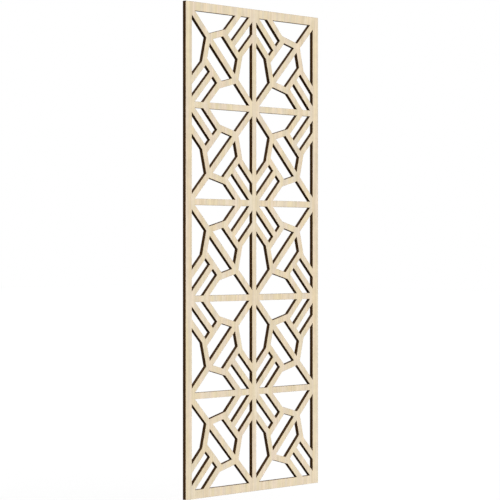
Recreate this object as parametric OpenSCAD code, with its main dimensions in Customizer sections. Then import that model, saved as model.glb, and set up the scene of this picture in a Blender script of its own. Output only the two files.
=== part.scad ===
// Fretwork wall panel: one laser-cut sheet of seven-ply plywood, every ply cut to the same outline.
// X runs across the panel, Z up it. The back face lies in the plane y = 0, centred on the origin,
// and the front face looks towards -Y.

/* [Panel] */
// Distance from one square tile of the pattern to the next, both across and up the panel
tile_pitch = 232; // [190:1:300]
// Tiles side by side
columns = 2; // [1:1:4]
// Tiles one above the other
rows = 5; // [1:1:8]
// Width of the plain frame round the outside of the panel
frame_w = 21.2; // [12:0.2:60]

/* [Fretwork] */
// Width of the rails and stiles that part the tiles
rail_w = 15.2; // [8:0.2:24]
// Width of the bars inside a tile
bar_w = 15.2; // [8:0.2:20]
// Clear gap between the diagonal bar and the side bar that runs along it
long_gap_w = 32.9; // [20:0.1:42]
// Clear gap between two neighbouring stripes
stripe_gap_w = 21; // [10:0.1:28]
// Distance from a tile's centre to the root of a link bar, measured along the diagonal bar
link_root = 69.8; // [56:0.1:84]
// Angle between a link bar and the rail or stile that it faces
link_angle = 14.2; // [8:0.1:20]

/* [Plies] */
// Thickness of the sanded veneer on the front and on the back
face_ply_t = 1; // [0.6:0.1:1.6]
// Thickness of each of the five plies between the two face veneers
inner_ply_t = 1.5; // [1:0.1:2.5]

/* [Hidden] */

// The tiles meet on the centre lines of the rails, so half a rail of the frame lies inside the grid of tiles.
panel_w = columns * tile_pitch + 2 * frame_w - rail_w;
panel_h = rows * tile_pitch + 2 * frame_w - rail_w;

// How far each ply's back surface lies in front of the panel's back face.
back_crossband_y = face_ply_t;
back_long_ply_y = back_crossband_y + inner_ply_t;
core_ply_y = back_long_ply_y + inner_ply_t;
front_long_ply_y = core_ply_y + inner_ply_t;
front_crossband_y = front_long_ply_y + inner_ply_t;
front_face_y = front_crossband_y + inner_ply_t;

// A line in a tile is [x, y, d]: the direction of its normal, and its distance from the tile's centre.
function line(normal_angle, distance) = [cos(normal_angle), sin(normal_angle), distance];

// The point where two lines cross.
function crossing(p, q) =
  let (det = p[0] * q[1] - p[1] * q[0])
  [(p[2] * q[1] - p[1] * q[2]) / det, (p[0] * q[2] - p[2] * q[0]) / det];

// The edges of the bars in the upper right half of a tile whose diagonal bar runs from the upper left corner
// to the lower right one. The middle stripe runs from the tile's centre to its upper right corner.
rail_edge = line(90, tile_pitch / 2 - rail_w / 2);
diagonal_edge = line(45, bar_w / 2);
side_bar_inner_edge = line(45, bar_w / 2 + long_gap_w);
side_bar_outer_edge = line(45, bar_w / 2 + long_gap_w + bar_w);
middle_stripe_edge = line(135, bar_w / 2);
outer_stripe_inner_edge = line(135, bar_w / 2 + stripe_gap_w);
outer_stripe_outer_edge = line(135, bar_w / 2 + stripe_gap_w + bar_w);

// The link bar crosses the diagonal bar at its root and rises to the foot of the outer stripe.
link_distance = link_root * sin(45 + link_angle);
link_upper_edge = line(90 + link_angle, link_distance + bar_w / 2);
link_lower_edge = line(90 + link_angle, link_distance - bar_w / 2);

// Mirror images of a tile's outline. The diagonal bar and the middle stripe are the two mirror lines.
function over_stripe(outline) = [for (p = outline) [p[1], p[0]]];
function over_diagonal(outline) = [for (p = outline) [-p[1], -p[0]]];
function half_turn(outline) = [for (p = outline) [-p[0], -p[1]]];
function reversed(outline) = [for (i = [len(outline) - 1 : -1 : 0]) outline[i]];

// The four-sided opening between the rail, the diagonal bar, a link bar and the outer stripe.
corner_opening = [
  crossing(rail_edge, diagonal_edge),
  crossing(rail_edge, outer_stripe_outer_edge),
  crossing(outer_stripe_outer_edge, link_upper_edge),
  crossing(link_upper_edge, diagonal_edge),
];

// The slot between the outer stripe and the middle one, from the side bar to the rail.
stripe_slot = [
  crossing(rail_edge, outer_stripe_inner_edge),
  crossing(rail_edge, middle_stripe_edge),
  crossing(middle_stripe_edge, side_bar_outer_edge),
  crossing(side_bar_outer_edge, outer_stripe_inner_edge),
];

// Half of the long opening between the diagonal bar and the side bar, which two link bars close.
long_opening_half = [
  crossing(diagonal_edge, link_lower_edge),
  crossing(side_bar_inner_edge, link_lower_edge),
];

// The upper left and lower right quarters of the pattern repeat by symmetry, and so do the two long openings.
long_opening = concat(long_opening_half, reversed(over_stripe(long_opening_half)));
tile_openings = [
  for (outline = [corner_opening, stripe_slot])
    each [outline, over_stripe(outline), over_diagonal(outline), half_turn(outline)],
  long_opening,
  over_diagonal(long_opening),
];

// Neighbouring tiles are mirror images of each other. Columns count from the left and rows from the top.
module tile(column, row) {
  turn_x = column % 2 == 0 ? 1 : -1;
  turn_z = row % 2 == 0 ? 1 : -1;
  x = (column - (columns - 1) / 2) * tile_pitch;
  z = ((rows - 1) / 2 - row) * tile_pitch;
  for (outline = tile_openings) {
    polygon([for (p = outline) [x + turn_x * p[0], z + turn_z * p[1]]]);
  }
}

// One ply of the sheet, cut right through to the panel's outline and openings.
module ply(back_y, thickness) {
  translate([0, -back_y, 0])
  rotate([90, 0, 0])
  linear_extrude(thickness)
  difference() {
    square([panel_w, panel_h], center = true);
    for (column = [0 : columns - 1], row = [0 : rows - 1]) {
      tile(column, row);
    }
  }
}

// The show face: a pale veneer with its grain upright.
module front_face_veneer() {
  color("#ebd9bc") ply(front_face_y, face_ply_t);
}

// Cross-grain ply under the show face. Only its burnt cut edge is ever seen.
module front_crossband() {
  color("#2a1d12") ply(front_crossband_y, inner_ply_t);
}

// Upright-grain ply between the front crossband and the core.
module front_long_ply() {
  color("#3a2819") ply(front_long_ply_y, inner_ply_t);
}

// The middle ply, with its grain across the panel.
module core_ply() {
  color("#2a1d12") ply(core_ply_y, inner_ply_t);
}

// Upright-grain ply between the core and the back crossband.
module back_long_ply() {
  color("#3a2819") ply(back_long_ply_y, inner_ply_t);
}

// Cross-grain ply under the back veneer.
module back_crossband() {
  color("#2a1d12") ply(back_crossband_y, inner_ply_t);
}

// The face that goes against the wall: the same pale veneer, grain upright.
module back_face_veneer() {
  color("#e3cfae") ply(0, face_ply_t);
}

front_face_veneer();
front_crossband();
front_long_ply();
core_ply();
back_long_ply();
back_crossband();
back_face_veneer();
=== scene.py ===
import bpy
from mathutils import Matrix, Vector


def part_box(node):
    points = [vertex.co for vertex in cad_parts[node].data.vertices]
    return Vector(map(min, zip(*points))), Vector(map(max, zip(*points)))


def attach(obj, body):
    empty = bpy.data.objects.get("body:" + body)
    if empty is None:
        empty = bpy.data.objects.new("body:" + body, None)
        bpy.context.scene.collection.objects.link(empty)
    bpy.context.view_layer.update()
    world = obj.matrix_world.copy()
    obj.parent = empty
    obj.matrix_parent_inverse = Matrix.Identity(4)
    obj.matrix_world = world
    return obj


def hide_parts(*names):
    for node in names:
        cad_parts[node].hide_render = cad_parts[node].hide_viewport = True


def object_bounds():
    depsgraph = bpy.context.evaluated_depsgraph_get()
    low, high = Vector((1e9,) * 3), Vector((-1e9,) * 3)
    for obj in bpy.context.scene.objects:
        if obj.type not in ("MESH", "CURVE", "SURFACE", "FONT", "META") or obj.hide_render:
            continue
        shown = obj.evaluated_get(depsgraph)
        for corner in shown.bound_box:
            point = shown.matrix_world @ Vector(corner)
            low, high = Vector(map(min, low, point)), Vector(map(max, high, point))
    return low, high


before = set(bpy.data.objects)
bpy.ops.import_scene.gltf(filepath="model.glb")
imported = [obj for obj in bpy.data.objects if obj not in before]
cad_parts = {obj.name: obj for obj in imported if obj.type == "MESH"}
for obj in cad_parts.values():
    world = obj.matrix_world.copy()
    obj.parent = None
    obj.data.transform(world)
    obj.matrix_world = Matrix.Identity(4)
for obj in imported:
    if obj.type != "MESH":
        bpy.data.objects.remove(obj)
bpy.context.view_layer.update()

import math

import bmesh
import bpy
from mathutils import Vector
from mathutils.geometry import tessellate_polygon

# Inner plies. Between its two face veneers the sheet is taken to be five plies, glued with the grain of
# each square to the next. The fretwork is cut through the glued sheet by laser, so all that shows of them
# is a charred wall, with a fine groove along each glue line.
MM = 0.001
GLUE_GROOVE = 0.08 * MM
SKIN_WELD = 0.01 * MM
SQUARE_CORNER = math.radians(80)
GRAIN_UPRIGHT = (0, 0, 1)
GRAIN_ACROSS = (1, 0, 0)
CHAR_BROWN = (0.065, 0.0315, 0.0105, 1)
CHAR_BLACK = (0.0145, 0.0076, 0.0031, 1)
CHAR_GLOSS = 0.02
CHAR_RELIEF = 0.06 * MM


def feed(tree, socket, value):
    """Links a socket to the input, or sets the input to a number, colour or vector."""
    if isinstance(value, bpy.types.NodeSocket):
        tree.links.new(value, socket)
    else:
        socket.default_value = value


def place(tree, kind, inputs=None, **settings):
    """Adds a node with its settings and its named inputs."""
    node = tree.nodes.new(kind)
    for name, value in settings.items():
        setattr(node, name, value)
    for name, value in (inputs or {}).items():
        feed(tree, node.inputs[name], value)
    return node


def reckon(tree, operation, *values):
    """Does a sum on numbers that vary over the surface."""
    node = place(tree, "ShaderNodeMath", operation=operation)
    for socket, value in zip(node.inputs, values):
        feed(tree, socket, value)
    return node.outputs[0]


def between(tree, value, low, high, to_low=0.0, to_high=1.0):
    """Eases from one number to another as the value goes from low to high."""
    node = place(tree, "ShaderNodeMapRange",
                 {"Value": value, "From Min": low, "From Max": high, "To Min": to_low, "To Max": to_high},
                 interpolation_type="SMOOTHSTEP")
    return node.outputs["Result"]


def tint(tree, share, first, second, mode="MIX"):
    """Mixes the second colour into the first."""
    node = place(tree, "ShaderNodeMix", data_type="RGBA", blend_type=mode)
    feed(tree, node.inputs[0], share)
    feed(tree, node.inputs[6], first)
    feed(tree, node.inputs[7], second)
    return node.outputs[2]


def speckle(tree, point, per_metre, detail, roughness):
    """Noise with its own count of features per metre along each axis."""
    scaled = place(tree, "ShaderNodeVectorMath", operation="MULTIPLY")
    feed(tree, scaled.inputs[0], point)
    feed(tree, scaled.inputs[1], per_metre)
    node = place(tree, "ShaderNodeTexNoise",
                 {"Vector": scaled.outputs[0], "Scale": 1.0, "Detail": detail, "Roughness": roughness})
    return node.outputs["Fac"]


def group(name, inputs, outputs):
    """Opens a node group with its named inputs and outputs."""
    tree = bpy.data.node_groups.new(name, "ShaderNodeTree")
    for label, kind, value in inputs:
        socket = tree.interface.new_socket(label, in_out="INPUT", socket_type=kind)
        if value is not None:
            socket.default_value = value
    for label, kind in outputs:
        tree.interface.new_socket(label, in_out="OUTPUT", socket_type=kind)
    return tree, tree.nodes.new("NodeGroupInput").outputs, tree.nodes.new("NodeGroupOutput").inputs


def make_laser_char():
    """Char on a cut wall: sooty where the grain ends in it, browner along the grain, with threads of wood
    along the wall and the fine stripes that the beam leaves across it."""
    tree, given, out = group(
        "laser char",
        [("Point", "NodeSocketVector", None), ("Normal", "NodeSocketVector", None),
         ("Grain", "NodeSocketVector", GRAIN_UPRIGHT), ("Brown", "NodeSocketColor", CHAR_BROWN),
         ("Black", "NodeSocketColor", CHAR_BLACK)],
        [("Color", "NodeSocketColor"), ("Roughness", "NodeSocketFloat"), ("Height", "NodeSocketFloat")])
    facing = place(tree, "ShaderNodeVectorMath", operation="DOT_PRODUCT")
    feed(tree, facing.inputs[0], given["Normal"])
    feed(tree, facing.inputs[1], given["Grain"])
    end_grain = reckon(tree, "ABSOLUTE", facing.outputs["Value"])
    stripes = speckle(tree, given["Point"], (1100, 60, 1100), 2.0, 0.6)
    threads = speckle(tree, given["Point"], (110, 2600, 110), 2.0, 0.6)
    flares = speckle(tree, given["Point"], (55, 70, 55), 3.0, 0.6)
    ash = speckle(tree, given["Point"], (2600, 2600, 2600), 2.0, 0.6)
    soot = reckon(tree, "MULTIPLY_ADD", end_grain, 0.44, 0.12)
    soot = reckon(tree, "ADD", soot, between(tree, stripes, 0.35, 0.65, -0.13, 0.13))
    soot = reckon(tree, "ADD", soot, between(tree, threads, 0.35, 0.65, -0.12, 0.12))
    soot = reckon(tree, "ADD", soot, between(tree, flares, 0.32, 0.68, -0.16, 0.16))
    soot = reckon(tree, "ADD", soot, between(tree, ash, 0.3, 0.7, -0.08, 0.08))
    soot = place(tree, "ShaderNodeClamp", {"Value": soot}).outputs[0]
    feed(tree, out["Color"], tint(tree, soot, given["Brown"], given["Black"]))
    feed(tree, out["Roughness"], between(tree, soot, 0.0, 1.0, 0.68, 0.92))
    feed(tree, out["Height"], reckon(tree, "MULTIPLY_ADD", ash, 0.4, stripes))
    return tree


laser_char = make_laser_char()


def charred_cut(name, grain, brown, black):
    """Wood that the laser charred, matt as soot."""
    material = bpy.data.materials.new(name)
    material.use_nodes = True
    tree = material.node_tree
    wood = tree.nodes["Principled BSDF"]
    wood.inputs["Specular IOR Level"].default_value = CHAR_GLOSS
    where = place(tree, "ShaderNodeTexCoord").outputs
    char = place(tree, "ShaderNodeGroup", node_tree=laser_char)
    feed(tree, char.inputs["Point"], where["Object"])
    feed(tree, char.inputs["Normal"], where["Normal"])
    feed(tree, char.inputs["Grain"], grain)
    feed(tree, char.inputs["Brown"], brown)
    feed(tree, char.inputs["Black"], black)
    bump = place(tree, "ShaderNodeBump",
                 {"Height": char.outputs["Height"], "Strength": 0.5, "Distance": CHAR_RELIEF})
    feed(tree, wood.inputs["Base Color"], char.outputs["Color"])
    feed(tree, wood.inputs["Roughness"], char.outputs["Roughness"])
    feed(tree, wood.inputs["Normal"], bump.outputs["Normal"])
    return material


char_upright = charred_cut("charred ply, grain upright", GRAIN_UPRIGHT, CHAR_BROWN, CHAR_BLACK)
char_across = charred_cut("charred ply, grain across", GRAIN_ACROSS, CHAR_BROWN, CHAR_BLACK)
inner_plies = [("front_crossband", char_across), ("front_long_ply", char_upright),
               ("core_ply", char_across), ("back_long_ply", char_upright),
               ("back_crossband", char_across)]
for name, char in inner_plies:
    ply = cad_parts[name]
    ply.material_slots[0].material = char
    weld = ply.modifiers.new("one skin", "WELD")
    weld.merge_threshold = SKIN_WELD
    groove = ply.modifiers.new("glue line groove", "BEVEL")
    groove.width = GLUE_GROOVE
    groove.segments = 1
    groove.limit_method = "ANGLE"
    groove.angle_limit = SQUARE_CORNER

# Face veneers. A pale, maple-like veneer with upright grain, sanded and left bare, faces the front. The back
# is taken to be the same but a little darker, and both to be glued to the inner plies. The cut chars their
# edges, and is taken to scorch a thin tan rim round every opening.
SCORCH_RIM = 1.1 * MM
ARRIS = 0.14 * MM
ARRIS_MIDDLE = 0.3 * ARRIS
SHOW_TONE = (0.786, 0.669, 0.500, 1)
BACK_TONE = (0.735, 0.615, 0.440, 1)
SCORCH_TINT = (0.52, 0.36, 0.22, 1)
SANDED_GLOSS = 0.25
SANDED_RELIEF = 0.04 * MM
EDGE_BROWN = (0.078, 0.0395, 0.0140, 1)
EDGE_BLACK = (0.0200, 0.0104, 0.0043, 1)
SANDED = 0
CHARRED = 1
SAME_LEVEL = 0.001 * MM
RIM_SPREAD = 3.3 * MM
EDGE_GAP = 2.4 * MM
EDGE_BAND = 2.4 * MM
CHART_MARGIN = 1.0 * MM
HIDDEN_BAND = 12 * MM
HIDDEN_GAP = 2 * MM


def cut_outlines(node, level):
    """The outlines of a ply's outer edge and openings at one depth, with the wood on the left of the way
    round. Each is a list of (corner, mitre): the mitre leads out of the wood, one unit off both walls."""
    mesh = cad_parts[node].data
    ahead = {}
    for face in mesh.polygons:
        corners = [mesh.vertices[i].co for i in face.vertices]
        rim = [(round(p.x, 6), round(p.z, 6)) for p in corners if abs(p.y - level) < SAME_LEVEL]
        if abs(face.normal.y) < 0.5 and len(rim) == 2:
            way = Vector(rim[1]) - Vector(rim[0])
            out = Vector((face.normal.x, face.normal.z)).normalized()
            if way.y * out.x - way.x * out.y < 0:
                rim.reverse()
            ahead[rim[0]] = (rim[1], out)
    outlines = []
    while ahead:
        corners = [next(iter(ahead))]
        outs = []
        while corners[-1] in ahead:
            onward, out = ahead.pop(corners[-1])
            corners.append(onward)
            outs.append(out)
        mitres = [(outs[i - 1] + outs[i]) / (1 + outs[i - 1].dot(outs[i])) for i in range(len(outs))]
        outlines.append([(Vector(corner), mitre) for corner, mitre in zip(corners, mitres)])
    outlines.sort(key=lambda outline: -max(corner.length for corner, mitre in outline))
    return outlines


def run_profile(form, outline, face_level, glue_level, laid):
    """Runs a small profile round one outline, from the clean face over the scorched rim and the eased
    arris, and down the charred edge to the glue. Gives its rings of vertices, and notes in laid where each
    vertex lies on the sheet, and how far the chart moves it out for the face and for the charred edge."""
    thick = abs(glue_level - face_level)
    into_wood = math.copysign(1, glue_level - face_level)
    profile = [(SCORCH_RIM, 0), (ARRIS, 0), (ARRIS_MIDDLE, ARRIS_MIDDLE), (0, ARRIS),
               (0, thick - GLUE_GROOVE), (GLUE_GROOVE, thick)]
    scorch = form.verts.layers.float["scorch"]
    rings = []
    for inset, depth in profile:
        ring = []
        for corner, mitre in outline:
            at = corner - mitre * inset
            vertex = form.verts.new((at.x, face_level + into_wood * depth, at.y))
            vertex[scorch] = 0.0 if inset == SCORCH_RIM else 1.0
            rim_out = RIM_SPREAD if inset == ARRIS else 0.0
            edge_out = RIM_SPREAD + EDGE_GAP + EDGE_BAND * depth / thick
            laid[vertex] = (at, mitre * rim_out, mitre * edge_out)
            ring.append(vertex)
        rings.append(ring)
    for step, (outer, inner) in enumerate(zip(rings, rings[1:])):
        for i in range(len(outer)):
            face = form.faces.new((outer[i - 1], outer[i], inner[i], inner[i - 1]))
            face.material_index = SANDED if step == 0 else CHARRED
    return rings


def close_flat(form, rings):
    """Fills the flat inside the outer ring and round the openings' rings, with well shaped triangles."""
    corners = [vertex for ring in rings for vertex in ring]
    triangles = tessellate_polygon([[vertex.co for vertex in ring] for ring in rings])
    flat = [form.faces.new([corners[i] for i in triangle]) for triangle in triangles]
    within = set(flat)
    seams = [edge for edge in form.edges
             if len(edge.link_faces) == 2 and within.issuperset(edge.link_faces)]
    bmesh.ops.beautify_fill(form, faces=flat, edges=seams)


def lay_chart(form, low, high, glue_level, laid):
    """Lays the sheet out on one chart as it is cut. The scorched rim is spread out into the openings, which
    gives it some pixels of a baked map, and the charred edge is folded out clear of it. The glued side
    never shows, so it is squeezed into a narrow band at the right."""
    chart = form.loops.layers.uv.new("OFBake")
    room = RIM_SPREAD + EDGE_GAP + EDGE_BAND + CHART_MARGIN
    left = low.x - room
    bottom = low.z - room
    width = high.x - low.x + 2 * room + HIDDEN_BAND
    height = high.z - low.z + 2 * room
    for face in form.faces:
        glued = all(abs(vertex.co.y - glue_level) < SAME_LEVEL for vertex in face.verts)
        for loop in face.loops:
            at, rim_out, edge_out = laid[loop.vert]
            at = at + (edge_out if face.material_index == CHARRED else rim_out)
            across = (at.x - left) / width
            if glued:
                across = 1 - (HIDDEN_BAND - HIDDEN_GAP) / width * (1 - across)
            loop[chart].uv = (across, (at.y - bottom) / height)


def veneer_sheet(name, node, show_side):
    """A veneer cut to every outline of its CAD ply, in that ply's place. Its show side is -1 for the front
    and 1 for the back."""
    low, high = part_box(node)
    face_level, glue_level = (low.y, high.y) if show_side < 0 else (high.y, low.y)
    form = bmesh.new()
    form.verts.layers.float.new("scorch")
    laid = {}
    profiles = [run_profile(form, outline, face_level, glue_level, laid)
                for outline in cut_outlines(node, face_level)]
    close_flat(form, [rings[0] for rings in profiles])
    close_flat(form, [rings[-1] for rings in profiles])
    bmesh.ops.recalc_face_normals(form, faces=form.faces)
    lay_chart(form, low, high, glue_level, laid)
    mesh = bpy.data.meshes.new(name)
    form.to_mesh(mesh)
    form.free()
    sheet = bpy.data.objects.new(name, mesh)
    bpy.context.scene.collection.objects.link(sheet)
    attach(sheet, "root")
    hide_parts(node)
    return sheet


def make_veneer_figure():
    """Upright grain of a sliced veneer: soft bands, thin growth lines, fibres, flecks and pores, and a
    faint shimmer across the grain."""
    tree, given, out = group(
        "veneer figure",
        [("Point", "NodeSocketVector", None), ("Tone", "NodeSocketColor", SHOW_TONE)],
        [("Color", "NodeSocketColor"), ("Roughness", "NodeSocketFloat"), ("Height", "NodeSocketFloat")])
    sway = speckle(tree, given["Point"], (7, 1, 2.5), 2.0, 0.5)
    lean = place(tree, "ShaderNodeCombineXYZ", {"X": reckon(tree, "MULTIPLY_ADD", sway, 0.05, -0.025)})
    leaning = place(tree, "ShaderNodeVectorMath", operation="ADD")
    feed(tree, leaning.inputs[0], given["Point"])
    feed(tree, leaning.inputs[1], lean.outputs[0])
    point = leaning.outputs[0]
    straw = between(tree, speckle(tree, point, (62, 3, 5), 2.0, 0.55), 0.34, 0.66)
    blush = between(tree, speckle(tree, point, (48, 3, 3.2), 2.0, 0.55), 0.36, 0.64)
    bands = between(tree, speckle(tree, point, (75, 3, 2.2), 3.0, 0.6), 0.34, 0.66)
    lines = speckle(tree, point, (330, 20, 3), 3.0, 0.6)
    fibres = speckle(tree, point, (1500, 100, 26), 3.0, 0.65)
    shimmer = speckle(tree, given["Point"], (28, 3, 62), 2.0, 0.55)
    flecks = speckle(tree, point, (1050, 60, 170), 1.0, 0.5)
    pores = speckle(tree, point, (4200, 200, 300), 1.0, 0.5)
    colour = tint(tree, straw, (0.992, 1.0, 1.035, 1), (0.988, 0.98, 0.89, 1))
    warmth = tint(tree, blush, (0.985, 1.0, 0.993, 1), (1.01, 0.986, 0.99, 1))
    colour = tint(tree, 1.0, colour, warmth, "MULTIPLY")
    colour = tint(tree, 1.0, colour, given["Tone"], "MULTIPLY")
    shade = reckon(tree, "MULTIPLY", between(tree, bands, 0.0, 1.0, 1.03, 0.955),
                   between(tree, lines, 0.36, 0.66, 1.035, 0.92))
    shade = reckon(tree, "MULTIPLY", shade, between(tree, fibres, 0.4, 0.72, 1.02, 0.93))
    shade = reckon(tree, "MULTIPLY", shade, between(tree, shimmer, 0.3, 0.7, 0.965, 1.035))
    shade = reckon(tree, "MULTIPLY", shade, between(tree, flecks, 0.69, 0.79, 1.0, 0.86))
    shade = reckon(tree, "MULTIPLY", shade, between(tree, pores, 0.6, 0.74, 1.0, 0.91))
    hollows = reckon(tree, "MULTIPLY_ADD", fibres, -0.6, reckon(tree, "MULTIPLY", lines, -0.4))
    feed(tree, out["Color"], tint(tree, 1.0, colour, shade, "MULTIPLY"))
    feed(tree, out["Roughness"], between(tree, lines, 0.3, 0.7, 0.5, 0.6))
    feed(tree, out["Height"], hollows)
    return tree


veneer_figure = make_veneer_figure()


def cut_veneer(name, tone):
    """Bare sanded veneer, with its scorched rim."""
    material = bpy.data.materials.new(name)
    material.use_nodes = True
    tree = material.node_tree
    wood = tree.nodes["Principled BSDF"]
    wood.inputs["Specular IOR Level"].default_value = SANDED_GLOSS
    where = place(tree, "ShaderNodeTexCoord").outputs
    figure = place(tree, "ShaderNodeGroup", node_tree=veneer_figure)
    feed(tree, figure.inputs["Point"], where["Object"])
    feed(tree, figure.inputs["Tone"], tone)
    burn = place(tree, "ShaderNodeAttribute", attribute_name="scorch").outputs["Fac"]
    licks = speckle(tree, where["Object"], (500, 100, 300), 2.0, 0.6)
    ragged = reckon(tree, "MULTIPLY_ADD", licks, 0.7, reckon(tree, "SUBTRACT", burn, 0.35))
    rim = between(tree, ragged, 0.35, 1.25)
    scorched = tint(tree, 1.0, figure.outputs["Color"], SCORCH_TINT, "MULTIPLY")
    bump = place(tree, "ShaderNodeBump",
                 {"Height": figure.outputs["Height"], "Strength": 0.4, "Distance": SANDED_RELIEF})
    feed(tree, wood.inputs["Base Color"], tint(tree, rim, figure.outputs["Color"], scorched))
    feed(tree, wood.inputs["Roughness"], figure.outputs["Roughness"])
    feed(tree, wood.inputs["Normal"], bump.outputs["Normal"])
    return material


veneer_edge = charred_cut("charred veneer edge", GRAIN_UPRIGHT, EDGE_BROWN, EDGE_BLACK)
show_veneer = veneer_sheet("show_veneer", "front_face_veneer", -1)
show_veneer.data.materials.append(cut_veneer("pale veneer, show face", SHOW_TONE))
show_veneer.data.materials.append(veneer_edge)
back_veneer = veneer_sheet("back_veneer", "back_face_veneer", 1)
back_veneer.data.materials.append(cut_veneer("pale veneer, back", BACK_TONE))
back_veneer.data.materials.append(veneer_edge)

# Studio floor. Plain pale paint a little way under the panel, which hangs upright as it would on a wall.
# It looks white to the eye, yet takes a shadow and throws only a little light up.
FLOOR_GAP = 0.25
FLOOR_SIDE = 60.0
FLOOR_PAINT = (0.32, 0.32, 0.32, 1)
FLOOR_GLOW = 0.59


def seen_directly(tree):
    """One where the eye sees a surface itself, or its image in something shiny or clear."""
    path = place(tree, "ShaderNodeLightPath").outputs
    seen = reckon(tree, "MAXIMUM", path["Is Camera Ray"], path["Is Glossy Ray"])
    return reckon(tree, "MAXIMUM", seen, path["Is Transmission Ray"])


low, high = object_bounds()
bpy.ops.mesh.primitive_plane_add(size=FLOOR_SIDE, location=(0, 0, low.z - FLOOR_GAP))
floor = bpy.context.object
floor.name = "studio_floor"
paint = bpy.data.materials.new("pale floor paint")
paint.use_nodes = True
tree = paint.node_tree
tree.nodes.remove(tree.nodes["Principled BSDF"])
matt = place(tree, "ShaderNodeBsdfDiffuse", {"Color": FLOOR_PAINT})
glow_strength = reckon(tree, "MULTIPLY", seen_directly(tree), FLOOR_GLOW)
glow = place(tree, "ShaderNodeEmission", {"Strength": glow_strength})
both = place(tree, "ShaderNodeAddShader")
feed(tree, both.inputs[0], matt.outputs[0])
feed(tree, both.inputs[1], glow.outputs[0])
feed(tree, tree.nodes["Material Output"].inputs["Surface"], both.outputs[0])
floor.data.materials.append(paint)

# Studio light. A pale room lies on every side, which looks white where the eye sees it directly. A broad
# soft lamp stands high on the left in front, and a weaker one high on the right behind.
ROOM_LIGHT = 0.45
world = bpy.data.worlds.new("pale studio")
bpy.context.scene.world = world
world.use_nodes = True
tree = world.node_tree
feed(tree, tree.nodes["Background"].inputs["Color"], (1, 1, 1, 1))
feed(tree, tree.nodes["Background"].inputs["Strength"],
     reckon(tree, "MULTIPLY_ADD", seen_directly(tree), 1 - ROOM_LIGHT, ROOM_LIGHT))


def soft_lamp(name, strength, spread, stands):
    """A broad lamp far off in the direction given. It lights a white card that faces it to the strength
    given, and looks as many degrees wide as its spread."""
    data = bpy.data.lights.new(name, "SUN")
    data.energy = strength * math.pi
    data.angle = math.radians(spread)
    lamp = bpy.data.objects.new(name, data)
    bpy.context.scene.collection.objects.link(lamp)
    lamp.rotation_mode = "QUATERNION"
    lamp.rotation_quaternion = Vector(stands).to_track_quat("Z", "Y")


soft_lamp("front lamp", strength=0.88, spread=30, stands=(-0.45, -0.70, 0.55))
soft_lamp("back lamp", strength=0.66, spread=50, stands=(0.35, 0.75, 0.56))

# Camera. A long lens, level with the middle of the panel, out to its front left. Its place is reckoned
# from the panel's near upright edge, and where that edge stands in the picture.
PICTURE_SIDE = 500
SENSOR = 36.0
VIEW_TURN = math.radians(48.34)
LENS_PIXELS = 2046.9
NEAR_EDGE_AWAY = 4.863
NEAR_EDGE_COLUMN = 185.70
EYE_ROW = 250.30
SIGHT_END = 200
lens = bpy.data.cameras.new("camera")
lens.sensor_width = SENSOR
lens.lens = LENS_PIXELS / PICTURE_SIDE * SENSOR
lens.clip_end = SIGHT_END
camera = bpy.data.objects.new("camera", lens)
bpy.context.scene.collection.objects.link(camera)
bpy.context.scene.camera = camera
ahead = Vector((math.sin(VIEW_TURN), math.cos(VIEW_TURN), 0))
aside = Vector((math.cos(VIEW_TURN), -math.sin(VIEW_TURN), 0))
upward = Vector((0, 0, 1))
near_edge = Vector((low.x, low.y, (low.z + high.z) / 2))
per_pixel = NEAR_EDGE_AWAY / LENS_PIXELS
step_aside = (NEAR_EDGE_COLUMN - PICTURE_SIDE / 2) * per_pixel
step_up = (EYE_ROW - PICTURE_SIDE / 2) * per_pixel
camera.location = near_edge - ahead * NEAR_EDGE_AWAY - aside * step_aside + upward * step_up
camera.rotation_mode = "QUATERNION"
camera.rotation_quaternion = (-ahead).to_track_quat("Z", "Y")
bpy.context.scene.view_settings.view_transform = "Standard"
